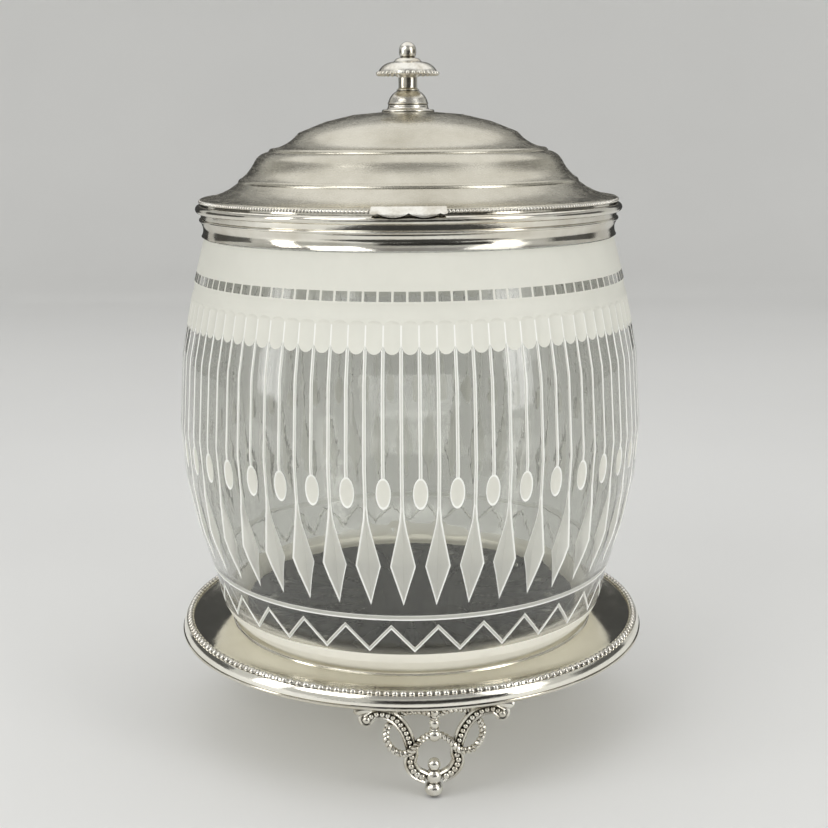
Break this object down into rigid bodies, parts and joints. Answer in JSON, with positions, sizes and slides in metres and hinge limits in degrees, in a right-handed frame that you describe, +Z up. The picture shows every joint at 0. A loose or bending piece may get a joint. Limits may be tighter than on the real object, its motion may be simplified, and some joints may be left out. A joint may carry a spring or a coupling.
{
  "type": "biscuit jar",
  "caption": "Footed cut-glass biscuit jar with a metal collar and a hinged domed lid, standing on a beaded round tray.",
  "frame": {"origin": "on the floor under the jar's axis, in the plane of the three feet's treads", "axes": "+Z up along the jar's axis, -Y to the front where the thumb piece is, +X to the right"},
  "size_m": [0.18, 0.18, 0.257],
  "materials": {
    "polished_silver": "polished silver plate, lightly scratched",
    "satin_silver": "satin silver plate",
    "cast_silver": "cast silver plate, dark in its hollows",
    "hinge_steel": "plated steel",
    "cut_glass": "clear glass with frosted cutting",
    "plaster": "setting plaster"
  },
  "bodies": {
    "stand": {"tray_plate": "polished_silver", "tray_bead_wire": "polished_silver", "tray_edge_wire": "polished_silver", "jar_locating_ring": "polished_silver", "foot_front": "cast_silver", "foot_right": "cast_silver", "foot_left": "cast_silver"},
    "jar": {"glass_body": "cut_glass", "collar_shell": "polished_silver", "collar_main_roll": "polished_silver", "collar_waist_roll": "polished_silver", "collar_cement": "plaster", "hinge_collar_leaf": "polished_silver", "hinge_pin": "hinge_steel"},
    "lid": {"lid_dome": "satin_silver", "lid_bezel": "satin_silver", "lid_bead_wire": "polished_silver", "thumb_piece": "cast_silver", "hinge_lid_leaf": "polished_silver", "finial_rose": "cast_silver", "finial_pedestal": "cast_silver", "finial_parasol": "cast_silver", "parasol_bead_wire": "cast_silver", "finial_knop": "cast_silver", "finial_stud": "hinge_steel", "finial_washer": "hinge_steel", "finial_nut": "hinge_steel"}
  },
  "joints": [
    {"name": "jar_lift", "type": "slide", "parent": "stand", "child": "jar", "axis": [0, 0, 1], "range_m": [0, 0.05]},
    {"name": "lid_hinge", "type": "hinge", "parent": "jar", "child": "lid", "pos_m": [0, 0.0816, 0.2009], "axis": [-1, 0, 0], "range_deg": [0, 100]}
  ]
}
